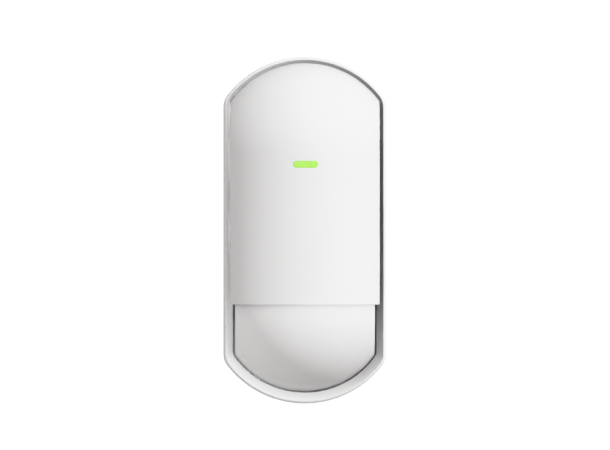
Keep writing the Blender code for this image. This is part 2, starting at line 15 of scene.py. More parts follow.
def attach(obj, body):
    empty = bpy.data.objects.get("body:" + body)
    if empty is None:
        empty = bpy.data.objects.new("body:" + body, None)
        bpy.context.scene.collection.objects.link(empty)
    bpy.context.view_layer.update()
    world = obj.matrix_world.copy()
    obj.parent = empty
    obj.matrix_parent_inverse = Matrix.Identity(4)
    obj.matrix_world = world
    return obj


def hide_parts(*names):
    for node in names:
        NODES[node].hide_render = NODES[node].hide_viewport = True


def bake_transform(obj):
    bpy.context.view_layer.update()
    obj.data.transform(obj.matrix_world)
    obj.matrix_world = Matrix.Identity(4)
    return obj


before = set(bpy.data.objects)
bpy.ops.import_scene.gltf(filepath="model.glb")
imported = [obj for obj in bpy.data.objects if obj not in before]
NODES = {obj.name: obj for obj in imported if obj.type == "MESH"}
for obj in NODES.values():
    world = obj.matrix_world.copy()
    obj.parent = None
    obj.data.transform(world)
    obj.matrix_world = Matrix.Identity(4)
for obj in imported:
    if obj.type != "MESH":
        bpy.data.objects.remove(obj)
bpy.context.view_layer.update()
MM = 0.001
SCENE = bpy.context.scene

# ---------------------------------------------------------------- driving sizes, mm, as in the CAD
# The body: straight sides between end arcs centred at z = +-ARC_Z, with rounded corners.
BODY_RADIUS, BODY_HALF_WIDTH, BODY_CORNER, ARC_Z = 30.5, 25.35, 6.3, 23.5
AXIS_DEPTH = 10.5  # where the curved faces of hood and lens have their centres
HOOD_RADIUS, HOOD_HALF_WIDTH = 28.75, 23.24
HOOD_INNER_RADIUS, HOOD_INNER_HALF_WIDTH = 27.35, 22.05
HOOD_BACK, HOOD_LOW = 13.3, -23.0  # depth of the back edge, z of the low edge
LENS_RADIUS, LENS_HALF_WIDTH, LENS_WALL, LENS_BACK = 26.6, 21.67, 0.8, 8.4
WINDOW_Z, WINDOW_HALF_LENGTH, WINDOW_RADIUS, WINDOW_GAP = 20.5, 3.8, 1.0, 0.1
LOCK_DEPTH = 3.9
TAMPER_X, TAMPER_Z = 12.5, -7.5
WALL_SCREW_Z = 30.0
CELL_X, CELL_DEPTH, CELL_RADIUS, CELL_BOTTOM, CELL_TOP = -10.6, 16.1, 7.8, 9.5, 36.5
BOARD_REAR, BOARD_FRONT = 4.9, 6.5
CONTROLLER_X, CONTROLLER_Z = -8.0, -2.5

SIDE_STEPS = 24  # faces along a straight side of an outline
COIL_STEPS = 28  # points in a turn of a spring
ADD, CUT, KEEP = "UNION", "DIFFERENCE", "INTERSECT"


# ---------------------------------------------------------------- skins
def point(x, depth, z):
    return Vector((x * MM, -depth * MM, z * MM))


class Skin:
    """Points and faces of one closed skin."""

    def __init__(self):
        self.verts, self.faces = [], []

    def row(self, points):
        """Adds x, depth, z points and returns their numbers."""
        start = len(self.verts)
        self.verts += [point(*p) for p in points]
        return list(range(start, start + len(points)))

    def band(self, a, b, closed=False):
        """Quads between two rows of equal count."""
        count = len(a)
        for i in range(count if closed else count - 1):
            j = (i + 1) % count
            self.faces.append((a[i], a[j], b[j], b[i]))

    def bands(self, rows, closed=False):
        for a, b in zip(rows, rows[1:]):
            self.band(a, b, closed)

    def cap(self, row):
        self.faces.append(tuple(row))

    def mesh(self, name):
        bm = bmesh.new()
        verts = [bm.verts.new(v) for v in self.verts]
        for face in self.faces:
            bm.faces.new([verts[i] for i in face])
        bmesh.ops.remove_doubles(bm, verts=bm.verts, dist=2e-6)
        bmesh.ops.dissolve_degenerate(bm, edges=bm.edges, dist=1e-7)
        bmesh.ops.recalc_face_normals(bm, faces=bm.faces)
        mesh = bpy.data.meshes.new(name)
        bm.to_mesh(mesh)
        bm.free()
        return mesh


def loft(name, rings, ends="cap"):
    """A skin through closed rings of x, depth, z points. ends: cap, join (last to first) or open."""
    skin = Skin()
    rows = [skin.row(ring) for ring in rings]
    skin.bands(rows, closed=True)
    if ends == "join":
        skin.band(rows[-1], rows[0], True)
    if ends == "cap":
        skin.cap(rows[0])
        skin.cap(rows[-1])
    return skin.mesh(name)


def at_depth(outline, depth):
    return [(x, depth, z) for x, z in outline]


def prism(outline, depth0, depth1, name="prism"):
    return loft(name, [at_depth(outline, depth0), at_depth(outline, depth1)])


def hollow_prism(outer, inner, depth0, depth1, name="groove"):
    """A closed loop of rectangular section between two x, z outlines."""
    rings = [(outer, depth0), (outer, depth1), (inner, depth1), (inner, depth0)]
    return loft(name, [at_depth(*ring) for ring in rings], ends="join")


def block(xs, depths, zs, name="block"):
    (x0, x1), (d0, d1) = xs, depths
    return loft(name, [[(x0, d0, z), (x1, d0, z), (x1, d1, z), (x0, d1, z)] for z in zs])


def brick(x, z, width, height, depth0, depth1):
    """A block centred at x, z."""
    return block(
        (x - width / 2, x + width / 2),
        (min(depth0, depth1), max(depth0, depth1)),
        (z - height / 2, z + height / 2),
        name="brick",
    )


def turned(name, profile, axis, at, segments):
    """A turned solid. profile holds (radius, along) from axis to axis; axis is depth or z."""
    rings = []
    for radius, along in profile:
        ring = []
        for i in range(segments):
            angle = 2 * math.pi * i / segments
            u, v = radius * math.cos(angle), radius * math.sin(angle)
            offset = (u, along, v) if axis == "depth" else (u, v, along)
            ring.append([place + step for place, step in zip(at, offset)])
        rings.append(ring)
    return loft(name, rings, ends="open")


def cylinder(name, radius, start, end, axis, at, segments):
    profile = [(0, start), (radius, start), (radius, end), (0, end)]
    return turned(name, profile, axis, at, segments)


def post(x, z, radius, depth0, depth1, segments=48):
    """A cylinder square to the wall."""
    return cylinder("post", radius, depth0, depth1, "depth", (x, 0, z), segments)


# ---------------------------------------------------------------- outlines
def arc(cx, cy, radius, start, end, steps):
    """Points on an arc, angles in degrees."""
    angles = [math.radians(start + (end - start) * i / steps) for i in range(steps + 1)]
    return [(cx + radius * math.cos(a), cy + radius * math.sin(a)) for a in angles]


def whole_outline(top, half_width):
    """The top from right to left, the left side, then both again turned half round."""
    height = top[0][1]
    side = [(-half_width, height - 2 * height * i / SIDE_STEPS) for i in range(1, SIDE_STEPS)]
    half = top + side
    return half + [(-x, -z) for x, z in half]


def body_outline(inset, side_inset=0.0, arc_steps=34, corner_steps=9):
    """The body outline moved inwards; side_inset moves the straight sides further."""
    radius = BODY_RADIUS - inset
    half_width = BODY_HALF_WIDTH - inset - side_inset
    corner = max(BODY_CORNER - inset, 0.5)
    corner_x = half_width - corner
    rise = math.sqrt((radius - corner) ** 2 - corner_x**2)
    turn = math.atan2(rise, corner_x)
    quarter = []
    for i in range(corner_steps):
        a = turn * i / corner_steps
        quarter.append((corner_x + corner * math.cos(a), ARC_Z + rise + corner * math.sin(a)))
    for i in range(arc_steps + 1):
        a = turn + (math.pi / 2 - turn) * i / arc_steps
        quarter.append((radius * math.cos(a), ARC_Z + radius * math.sin(a)))
    return whole_outline(quarter + [(-x, z) for x, z in reversed(quarter[:-1])], half_width)


def clipped_circle(radius, half_width, centre_z, arc_steps=48):
    """A circle cut flat at x = +-half_width."""
    turn = math.acos(half_width / radius)
    angles = [turn + (math.pi - 2 * turn) * i / arc_steps for i in range(arc_steps + 1)]
    top = [(radius * math.cos(a), radius * math.sin(a)) for a in angles]
    return [(x, z + centre_z) for x, z in whole_outline(top, half_width)]


def pill(half_length, radius, centre_z, steps=14):
    """A level slot shape with round ends."""
    right = arc(half_length - radius, 0, radius, -90, 90, steps)
    left = arc(-half_length + radius, 0, radius, 90, 270, steps)
    return [(x, z + centre_z) for x, z in right + left]


def round_rectangle(x0, x1, z0, z1, radius, steps=6):
    points = []
    corners = ((x1 - radius, z1 - radius), (x0 + radius, z1 - radius),
               (x0 + radius, z0 + radius), (x1 - radius, z0 + radius))
    for i, (x, z) in enumerate(corners):
        points += arc(x, z, radius, 90 * i, 90 * i + 90, steps)
    return points


# ---------------------------------------------------------------- pieces
def put(name, mesh, material=None):
    piece = bpy.data.objects.new(name, mesh)
    SCENE.collection.objects.link(piece)
    if material:
        mesh.materials.append(material)
    return piece


def gather(name, parts, material):
    """Several closed skins as one piece."""
    bm = bmesh.new()
    for part in parts:
        bm.from_mesh(part)
        bpy.data.meshes.remove(part)
    mesh = bpy.data.meshes.new(name)
    bm.to_mesh(mesh)
    bm.free()
    return put(name, mesh, material)


def apply_modifiers(piece):
    bpy.context.view_layer.update()
    evaluated = piece.evaluated_get(bpy.context.evaluated_depsgraph_get())
    mesh = bpy.data.meshes.new_from_object(evaluated)
    old = piece.data
    piece.modifiers.clear()
    piece.data = mesh
    mesh.name = old.name


def booleans(piece, *steps):
    """Applies (operation, mesh) steps in order."""
    tools = []
    for operation, mesh in steps:
        tool = put("tool_" + mesh.name, mesh)
        tools.append(tool)
        modifier = piece.modifiers.new("boolean", "BOOLEAN")
        modifier.operation, modifier.object, modifier.solver = operation, tool, "EXACT"
    apply_modifiers(piece)
    for tool in tools:
        bpy.data.objects.remove(tool, do_unlink=True)


def round_edges(piece, width, segments, angle):
    """Bevels edges sharper than angle degrees by width mm and shades the piece smooth."""
    if width:
        bevel = piece.modifiers.new("edges", "BEVEL")
        bevel.width, bevel.segments = width * MM, segments
        bevel.limit_method, bevel.angle_limit = "ANGLE", math.radians(angle)
        bevel.miter_outer = "MITER_ARC"
        bevel.use_clamp_overlap = True
    apply_modifiers(piece)
    for face in piece.data.polygons:
        face.use_smooth = True


def soften(piece, width=0, segments=2, angle=40):
    """Rounds the edges and evens the shading."""
    round_edges(piece, width, segments, angle)
    even = piece.modifiers.new("even", "WEIGHTED_NORMAL")
    even.keep_sharp = True
    even.weight = 60
    piece.data.set_sharp_from_angle(angle=math.radians(40))
    apply_modifiers(piece)


def finish(piece, slot, body="front_unit", replaces=None, **edges):
    soften(piece, **edges)
    if replaces:
        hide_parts(replaces)
    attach(piece, body)


# ---------------------------------------------------------------- material helpers
class Look:
    """A Principled material being built. Its helpers return output sockets."""

    def __init__(self, name):
        self.material = bpy.data.materials.new(name)
        self.material.use_nodes = True
        self.tree = self.material.node_tree

    def fill(self, node, inputs):
        """Links sockets and sets plain values, by input name or number."""
        for key, value in inputs.items():
            if isinstance(value, bpy.types.NodeSocket):
                self.tree.links.new(value, node.inputs[key])
            else:
                node.inputs[key].default_value = value

    def node(self, kind, inputs, **settings):
        node = self.tree.nodes.new("ShaderNode" + kind)
        for key, value in settings.items():
            setattr(node, key, value)
        self.fill(node, inputs)
        return node

    def surface(self, inputs):
        self.fill(self.tree.nodes["Principled BSDF"], inputs)
        return self.material

    def coords(self):
        return self.node("TexCoord", {}).outputs["Object"]

    def noise(self, scale, detail=2, rough=0.55, vector=None):
        inputs = {"Scale": scale, "Detail": detail, "Roughness": rough,
                  "Vector": vector or self.coords()}
        return self.node("TexNoise", inputs).outputs["Fac"]

    def ramp(self, factor, stops, interpolation="LINEAR"):
        """stops are (position, colour)."""
        node = self.node("ValToRGB", {"Fac": factor})
        node.color_ramp.interpolation = interpolation
        elements = node.color_ramp.elements
        while len(elements) > 1:
            elements.remove(elements[-1])
        elements[0].position, elements[0].color = stops[0][0], (*stops[0][1], 1)
        for position, colour in stops[1:]:
            elements.new(position).color = (*colour, 1)
        return node.outputs["Color"]

    def cloud(self, scale, dark, light, detail=3, start=0.3, end=0.7):
        """Soft patches between two colours."""
        return self.ramp(self.noise(scale, detail), [(start, dark), (end, light)])

    def remap(self, value, to_low, to_high, from_low=0.3, from_high=0.7):
        inputs = {0: value, 1: from_low, 2: from_high, 3: to_low, 4: to_high}
        return self.node("MapRange", inputs).outputs[0]

    def bump(self, height, strength, distance):
        """distance in metres."""
        inputs = {"Height": height, "Strength": strength, "Distance": distance}
        return self.node("Bump", inputs).outputs["Normal"]

    def paint_shade_near_parts(self, colour, reach, amount):
        """The colour with painted shade: darker where other surfaces stand within reach mm in front
        of it.
        """
        near = self.node("AmbientOcclusion", {"Distance": reach * MM}, samples=12).outputs["AO"]
        keep = self.remap(near, 1.0 - amount, 1.0, from_low=0.0, from_high=1.0)
        scaled = self.node("VectorMath", {}, operation="SCALE")
        self.fill(scaled, {0: colour, "Scale": keep})
        return scaled.outputs[0]


def shade(colour, factor):
    return tuple(min(1.0, v * factor) for v in colour)


def grey(value):
    return (value, value, value)


def moulded(name, colour, rough, grain, vary, spec=0.5, painted_shade=None):
    """Moulded plastic: a fine eroded grain, soft cloudiness and slightly uneven gloss.

    grain is the bump strength, vary the depth of the cloudiness.
    The last argument, if given, is (reach in mm, amount) of painted shade that darkens the colour
    near other surfaces.
    """
    look = Look(name)
    base = look.cloud(90.0, shade(colour, 1 - vary), shade(colour, 1 + vary * 0.6))
    fine = look.noise(6500.0, rough=0.6)
    return look.surface({
        "Base Color": look.paint_shade_near_parts(base, *painted_shade) if painted_shade else base,
        "Roughness": look.remap(fine, rough - 0.05, rough + 0.06),
        "Specular IOR Level": spec,
        "Normal": look.bump(fine, strength=grain, distance=0.00002),
    })


def metal(name, colour, rough, scratch=0.25):
    """Metal with fine marks drawn out across z; scratch scales their bump."""
    look = Look(name)
    stretched = look.node("Mapping", {"Vector": look.coords(), "Scale": (400, 400, 6000)})
    marks = look.noise(1.0, detail=3, rough=0.6, vector=stretched.outputs["Vector"])
    return look.surface({
        "Base Color": look.cloud(300.0, shade(colour, 0.95), shade(colour, 1.03),
                                 start=0.25, end=0.75),
        "Metallic": 1.0,
        "Roughness": look.remap(marks, max(0.04, rough - 0.04), rough + 0.06),
        "Normal": look.bump(marks, strength=scratch * 0.3, distance=0.000006),
    })


def gloss(name, colour, rough, vary=0.05, coat=0.0):
    """A smooth, slightly cloudy surface without bump."""
    look = Look(name)
    return look.surface({
        "Base Color": look.cloud(200.0, shade(colour, 1 - vary), shade(colour, 1 + vary)),
        "Roughness": look.remap(look.noise(900.0), rough * 0.8, rough * 1.25),
        "Coat Weight": coat,
    })


# ---------------------------------------------------------------- single materials
def lens_material():
    """Moulded polyethylene: waxy, with a slow cloudiness and a very fine grain."""
    look = Look("mat_lens")
    base = look.cloud(60.0, (0.755, 0.753, 0.750), (0.775, 0.774, 0.771))
    return look.surface({
        # Painted shadow in the lens colour: up to 0.3 darker within 1.5 mm of other surfaces, as
        # under the hood's low edge.
        "Base Color": look.paint_shade_near_parts(base, reach=1.5, amount=0.3),
        "Roughness": 0.36,
        "Specular IOR Level": 0.25,
        "Normal": look.bump(look.noise(3000.0), strength=0.05, distance=0.00002),
    })


def guide_material():
    """Clear green resin with a slight painted glow: it gives off light of its own colour with no lamp
    behind it.
    """
    look = Look("mat_light_guide")
    base = look.cloud(700.0, (0.36, 0.82, 0.09), (0.42, 0.88, 0.13), detail=2)
    return look.surface({
        "Base Color": base,
        "Emission Color": base,
        "Emission Strength": 0.12,
        "Roughness": 0.22,
        "Coat Weight": 0.3,
    })


def filter_material():
    """Coated silicon: dark, glossy, with a faint sheen that turns with the angle."""
    look = Look("mat_infrared_filter")
    facing = look.node("LayerWeight", {"Blend": 0.35}).outputs["Facing"]
    violet, plum, green = (0.05, 0.045, 0.075), (0.06, 0.05, 0.09), (0.05, 0.09, 0.07)
    return look.surface({
        "Base Color": look.ramp(facing, [(0.0, violet), (0.5, plum), (1.0, green)]),
        "Metallic": 0.55,
        "Roughness": look.remap(look.noise(500.0), 0.06, 0.12),
    })


def foam_material():
    """Black open-celled foam."""
    look = Look("mat_foam")
    cells = look.node("TexVoronoi", {"Scale": 3200.0, "Vector": look.coords()})
    distance = cells.outputs["Distance"]
    return look.surface({
        "Base Color": look.ramp(distance, [(0.0, (0.012, 0.012, 0.013)), (0.7, (0.05, 0.05, 0.052))]),
        "Roughness": 0.95,
        "Normal": look.bump(distance, strength=0.6, distance=0.0001),
    })


def board_material():
    """Slightly cloudy green solder mask through which the glass weave shows faintly."""
    look = Look("mat_board")
    coords = look.coords()
    threads = [
        look.node("TexWave", {"Scale": 420.0, "Vector": coords}, bands_direction=axis)
        for axis in ("X", "Z")
    ]
    weave = look.node("Math", {}, operation="MULTIPLY")
    look.fill(weave, {i: thread.outputs["Fac"] for i, thread in enumerate(threads)})
    weave = weave.outputs[0]
    mixed = look.node("Mix", {
        "Factor": 1.0,
        "A": look.cloud(70.0, (0.012, 0.112, 0.050), (0.015, 0.130, 0.059), detail=2),
        "B": look.ramp(weave, [(0.0, grey(0.86)), (1.0, grey(1.08))]),
    }, data_type="RGBA", blend_type="MULTIPLY")
    return look.surface({
        "Base Color": mixed.outputs["Result"],
        "Roughness": 0.34,
        "Coat Weight": 0.35,
        "Coat Roughness": 0.2,
        "Normal": look.bump(weave, strength=0.15, distance=0.00002),
    })


def cell_material():
    """Battery sleeve by height: blue with a pale band, and bare steel at both ends."""
    look = Look("mat_cell")
    height = look.node("SeparateXYZ", {0: look.coords()}).outputs["Z"]
    along = look.remap(height, 0.0, 1.0, from_low=CELL_BOTTOM * MM, from_high=CELL_TOP * MM)
    steel, blue, pale = (0.62, 0.62, 0.63), (0.035, 0.13, 0.30), (0.62, 0.66, 0.70)
    colours = [(0.0, steel), (0.022, blue), (0.30, pale), (0.345, blue), (0.968, steel)]
    bare = [(0.0, grey(1)), (0.022, grey(0)), (0.968, grey(1))]
    fine = look.noise(1800.0)
    return look.surface({
        "Base Color": look.ramp(along, colours, "CONSTANT"),
        "Metallic": look.ramp(along, bare, "CONSTANT"),
        "Roughness": look.remap(fine, 0.34, 0.40),
        "Normal": look.bump(fine, strength=0.03, distance=0.00001),
    })


def floor_material():
    look = Look("mat_floor")
    return look.surface({
        "Base Color": look.cloud(3.0, grey(0.84), grey(0.86), detail=2),
        "Roughness": 0.7,
    })


# Painted shade in the frame's colour: up to 0.4 darker where other surfaces stand within 5 mm, as in
# the gap beside the hood.
FRAME_WHITE = moulded("mat_frame_white", (0.86, 0.858, 0.852),
                      rough=0.42, grain=0.10, vary=0.012, spec=0.22, painted_shade=(5.0, 0.4))
HOOD_WHITE = moulded("mat_hood_white", (0.86, 0.86, 0.857),
                     rough=0.40, grain=0.08, vary=0.010, spec=0.22)
BASE_WHITE = moulded("mat_base_white", (0.85, 0.848, 0.84),
                     rough=0.48, grain=0.16, vary=0.02, spec=0.3)
LENS = lens_material()
GREEN = guide_material()
CHASSIS = moulded("mat_chassis", (0.30, 0.31, 0.32), rough=0.5, grain=0.2, vary=0.06)
BLACK = moulded("mat_black_plastic", (0.022, 0.022, 0.025), rough=0.42, grain=0.2, vary=0.1)
CHIP = moulded("mat_chip", (0.028, 0.028, 0.03), rough=0.5, grain=0.4, vary=0.12)
STEEL = metal("mat_plated_steel", (0.66, 0.66, 0.68), rough=0.26)
CAN = metal("mat_nickel_can", (0.72, 0.70, 0.66), rough=0.2, scratch=0.15)
SPRING = metal("mat_spring_steel", (0.62, 0.61, 0.60), rough=0.22, scratch=0.2)
TIN = metal("mat_tinned_steel", (0.74, 0.74, 0.74), rough=0.3, scratch=0.3)
GOLD = metal("mat_gold_pad", (0.86, 0.66, 0.30), rough=0.25, scratch=0.2)
SOLDER = metal("mat_solder", (0.72, 0.72, 0.74), rough=0.18, scratch=0.1)
MIRROR = metal("mat_chromed", (0.86, 0.86, 0.87), rough=0.05, scratch=0.03)
RED = gloss("mat_switch_red", (0.58, 0.045, 0.04), rough=0.32)
SWITCH_WHITE = gloss("mat_switch_white", (0.80, 0.80, 0.77), rough=0.3, vary=0.02)
SLEEVE = gloss("mat_capacitor_sleeve", (0.03, 0.035, 0.055), rough=0.22, vary=0.1, coat=0.4)
RESISTOR = gloss("mat_resistor", (0.035, 0.035, 0.04), rough=0.3)
CERAMIC = gloss("mat_ceramic", (0.46, 0.34, 0.22), rough=0.4)
FILTER = filter_material()
FOAM = foam_material()
BOARD = board_material()
CELL = cell_material()
TRACE = gloss("mat_trace", (0.030, 0.205, 0.095), rough=0.3, vary=0.04, coat=0.3)


# ---------------------------------------------------------------- front frame
def frame_profile():
    """Closed section as (inset, depth, side inset): outer face, crest, inner slope, back."""
    points = [(0.12, 7.3), (0.0, 7.42), (0.0, 9.6), (0.11, 11.8)]
    points += arc(0.74, 13.98, 0.52, 180, 90, 10)
    points += arc(0.84, 14.36, 0.14, 90, 30.5, 4)
    crest_inset, crest_depth = points[-1]
    foot_inset, foot_depth, slope_steps = 3.39, 10.30, 8
    for i in range(1, slope_steps + 1):
        f = i / slope_steps
        points.append((crest_inset + (foot_inset - crest_inset) * f,
                       crest_depth + (foot_depth - crest_depth) * f))
    points += [(3.43, 10.22), (3.45, 10.1), (3.45, 9.32), (3.41, 9.22), (3.33, 9.2)]
    points += [(2.4, 9.2), (1.72, 9.2), (1.6, 9.08), (1.6, 7.42), (1.48, 7.3)]
    profile = []
    for inset, depth in points:
        # The slope's straight sides fall gradually up to 0.5 mm outwards.
        share = min(1.0, max(0.0, (inset - 0.95) / 2.5)) if depth > 9.15 else 0.0
        profile.append((inset, depth, -0.5 * share))
    return profile


def build_front_frame():
    """The rim with two tabs at the top and a fork round the lock screw at the bottom."""
    rings = [at_depth(body_outline(inset, side), depth) for inset, depth, side in frame_profile()]
    piece = put("front_frame", loft("front_frame", rings, ends="join"), FRAME_WHITE)
    extras = []
    for x in (-9.0, 9.0):
        extras.append(block((x - 1.6, x + 1.6), (7.35, 7.95), (49.0, 51.8)))
        extras.append(block((x - 1.55, x + 1.55), (4.0, 7.8), (49.05, 50.1)))
    extras.append(block((-4, 4), (7.35, 7.95), (-53.2, -50.2)))
    # x, depth outline of the fork
    fork = [(-3.9, 2.4), (-1.6, 2.4)] + arc(0, LOCK_DEPTH, 1.6, 180, 0, 18)
    fork += [(1.6, 2.4), (3.9, 2.4), (3.9, 7.8), (-3.9, 7.8)]
    extras.append(loft("fork", [[(x, depth, z) for x, depth in fork] for z in (-51.5, -50.25)]))
    booleans(piece, *[(ADD, extra) for extra in extras])
    finish(piece, "moulded_white", replaces="front_case")
    return piece


front_frame = build_front_frame()


# ---------------------------------------------------------------- hood
def hood_rows(full_radius, half_width):
    """Sections of an upright capsule cut flat at the sides, from low edge to top of back edge."""
    wall_steps, arc_steps, low_rows, shoulder_rows, crown_rows = 8, 72, 30, 20, 34
    back = HOOD_BACK - AXIS_DEPTH
    # height angles where the flat sides and the hood end
    turn = math.acos(math.sqrt(half_width**2 + back**2) / full_radius)
    end = math.acos(back / full_radius)
    angles = [turn * i / shoulder_rows for i in range(shoulder_rows)]
    angles += [turn + (end - turn) * i / crown_rows for i in range(crown_rows + 1)]
    levels = [(HOOD_LOW + (ARC_Z - HOOD_LOW) * i / low_rows, full_radius) for i in range(low_rows)]
    levels += [(ARC_Z + full_radius * math.sin(a), full_radius * math.cos(a)) for a in angles]

    # Mould draft: the side walls lean in towards the front by draft mm over wall mm.
    draft = 0.13
    wall = AXIS_DEPTH + math.sqrt(HOOD_RADIUS**2 - HOOD_HALF_WIDTH**2) - HOOD_BACK

    rows = []
    for z, radius in levels:
        side = min(half_width, math.sqrt(max(radius * radius - back * back, 0.0)))
        rise = math.sqrt(max(radius * radius - side * side, 0.0))
        a0 = math.atan2(rise, side)
        section = [
            (side, AXIS_DEPTH + back + (rise - back) * i / wall_steps) for i in range(wall_steps)
        ]
        for i in range(arc_steps + 1):
            a = a0 + (math.pi - 2 * a0) * i / arc_steps
            section.append((radius * math.cos(a), AXIS_DEPTH + radius * math.sin(a)))
        section += [
            (-side, AXIS_DEPTH + rise + (back - rise) * i / wall_steps)
            for i in range(1, wall_steps + 1)
        ]
        rows.append([
            (x * (1 - draft / HOOD_HALF_WIDTH * (depth - HOOD_BACK) / wall), depth, z)
            for x, depth in section
        ])
    return rows


def hood_mesh():
    skin = Skin()
    outer = [skin.row(row) for row in hood_rows(HOOD_RADIUS, HOOD_HALF_WIDTH)]
    inner = [skin.row(row) for row in hood_rows(HOOD_INNER_RADIUS, HOOD_INNER_HALF_WIDTH)]
    skin.bands(outer)
    skin.bands(inner)
    skin.band(outer[0], inner[0])
    for end in (0, -1):
        skin.band([row[end] for row in outer], [row[end] for row in inner])
    return skin.mesh("hood_shell")


def build_hood():
    """The upper shell with its window slot and four clips."""
    piece = put("hood_shell", hood_mesh(), HOOD_WHITE)
    round_edges(piece, width=0.28, segments=3, angle=28)
    slot = pill(WINDOW_HALF_LENGTH + WINDOW_GAP, WINDOW_RADIUS + WINDOW_GAP, WINDOW_Z)
    steps = [(CUT, prism(slot, 34, 43))]
    for side in (-1, 1):
        clip_xs = sorted((side * 20.9, side * 21.9))
        root_xs = sorted((side * 20.9, side * 22.6))
        for z in (12.0, 31.0):
            steps.append((ADD, block(clip_xs, (8.4, 20.0), (z - 3, z + 3))))
            steps.append((ADD, block(root_xs, (13.7, 19.6), (z - 2.8, z + 2.8))))
    booleans(piece, *steps)
    finish(piece, "hood_white", "hood", replaces="hood")


def build_light_guide():
    """A window following the hood's face, on a wider head and a long stem."""
    window = pill(WINDOW_HALF_LENGTH, WINDOW_RADIUS, WINDOW_Z)
    piece = put("light_guide_window", prism(window, 37.2, 42, "guide_window"), GREEN)
    stem = [(0, 7.75), (1.0, 7.75), (1.2, 7.95), (1.25, 36.4), (0, 36.4)]  # radius, depth
    face_radius = HOOD_RADIUS - 0.1
    booleans(
        piece,
        (KEEP, cylinder("guide_face", face_radius, 10, 30, "z", (0, AXIS_DEPTH, 0), 360)),
        (ADD, prism(pill(4.3, 1.6, WINDOW_Z), 36.0, 37.3)),
        (ADD, turned("guide_stem", stem, "depth", (0, 0, WINDOW_Z), 32)),
    )
    finish(piece, "guide_green", "hood", replaces="light_guide", width=0.08)


build_hood()
build_light_guide()


# ---------------------------------------------------------------- lens
def lens_rows(full_radius, half_width, row_count=72, arc_steps=84, skirt_steps=2):
    """Sections from left to right of a ball cut flat at the sides, on a straight skirt."""
    rows = []
    reach = AXIS_DEPTH - LENS_BACK
    for i in range(row_count + 1):
        x = -half_width + 2 * half_width * i / row_count
        radius = math.sqrt(full_radius * full_radius - x * x)
        row = [(x, LENS_BACK + reach * k / skirt_steps, -ARC_Z - radius)
               for k in range(skirt_steps)]
        for k in range(arc_steps + 1):
            a = math.pi * k / arc_steps
            row.append((x, AXIS_DEPTH + radius * math.sin(a), -ARC_Z - radius * math.cos(a)))
        row += [(x, AXIS_DEPTH - reach * k / skirt_steps, -ARC_Z + radius)
                for k in range(1, skirt_steps + 1)]
        rows.append(row)
    return rows


def lens_mesh():
    skin = Skin()
    outer = [skin.row(row) for row in lens_rows(LENS_RADIUS, LENS_HALF_WIDTH)]
    inner_rows = lens_rows(LENS_RADIUS - LENS_WALL, LENS_HALF_WIDTH - LENS_WALL)
    inner = [skin.row(row) for row in inner_rows]
    for rows in (outer, inner):
        skin.bands(rows)
        skin.cap(rows[0])
        skin.cap(rows[-1])
    for end in (0, -1):
        skin.band([row[end] for row in outer], [row[end] for row in inner])
    for end in (0, -1):
        skin.cap((outer[end][0], outer[end][-1], inner[end][-1], inner[end][0]))
    return skin.mesh("lens_shell")


lens = put("lens_shell", lens_mesh(), LENS)
finish(lens, "lens_polyethylene", replaces="lens", width=0.3, segments=3, angle=28)

flange_outer, flange_inner = (clipped_circle(*c, -ARC_Z) for c in ((28.2, 23.05), (26.2, 21.35)))
flange_mesh = hollow_prism(flange_outer, flange_inner, 8.1, 8.9, "lens_flange")
flange = put("lens_flange", flange_mesh, LENS)
finish(flange, "lens_polyethylene", width=0.12)

# ---------------------------------------------------------------- rear base
# inset, side inset, depth: from the back edge up the outside, over the lip, down the inside
TRAY_RINGS = [
    (0.0, 4.72, 0.0), (0.0, 4.42, 0.08), (0.0, 3.4, 1.1), (0.0, 2.2, 2.3), (0.0, 1.1, 3.4),
    (0.0, 0.12, 4.38), (0.0, 0.03, 4.52), (0.0, 0.0, 4.7), (0.0, 0.0, 5.8), (0.0, 0.0, 6.88),
    (0.12, 0.0, 7.0), (1.48, 0.0, 7.0), (1.6, 0.0, 6.88), (1.6, 0.0, 5.1),
    (1.6, 1.1, 4.0), (1.6, 2.2, 2.9), (1.6, 3.3, 1.8),
]
# x from, x to, z from, z to
RIBS = [
    (-20.9, 20.9, 15.6, 16.4), (-20.9, 20.9, -18.4, -17.6), (-20.2, 20.2, -38.4, -37.6),
    (-20.2, 20.2, 37.6, 38.4), (-16.9, -16.1, -38.0, 38.0), (16.1, 16.9, -38.0, 38.0),
]
# x from, x to, z from, z to, corner radius
GROOVES = [(-5.4, 5.4, -4.4, 8.4, 2.4), (-14.4, -8.6, 20.0, 34.0, 2.4)]
BACK_POCKETS = [
    (-17.5, 7.2, -21.5, 21.5, 3), (9.4, 17.5, 0.5, 21.5, 2.5), (9.4, 17.5, -21.5, -14.0, 2.5),
    (-12.5, 12.5, 37.0, 45.5, 2.5), (-12.5, 12.5, -45.5, -37.0, 2.5),
]
# x, z of small round marks in the tray floor, and of larger ones in the back pockets
FLOOR_MARKS = [
    (-11.5, -10.0), (11.5, 11.0), (-9.0, 42.0), (9.0, -42.0), (-19.0, 0.0), (19.0, 0.0),
]
POCKET_MARKS = [(-10.0, 10.0), (-10.0, -12.0), (13.4, 10.0)]
# radius, depth of the countersunk wall screw hole
WALL_HOLE = [(0, -1), (2.1, -1), (2.1, 1.5), (3.3, 2.7), (3.3, 3.5), (0, 3.5)]


def tray_groove(x0, x1, z0, z1, radius, width=0.5):
    outer = round_rectangle(x0, x1, z0, z1, radius)
    inner = round_rectangle(x0 + width, x1 - width, z0 + width, z1 - width, radius - width)
    return hollow_prism(outer, inner, 1.1, 2.2)


def corner_hole(side, high):
    """A hole square to the bevelled edge of the base."""
    drill = post(0, 0, 1.7, -4, 2.5, 32)
    turn = Matrix.Rotation(math.radians(side * -45), 4, "Z")
    drill.transform(Matrix.Translation(point(side * 23.1, 2.25, high * 24.0)) @ turn)
    return drill


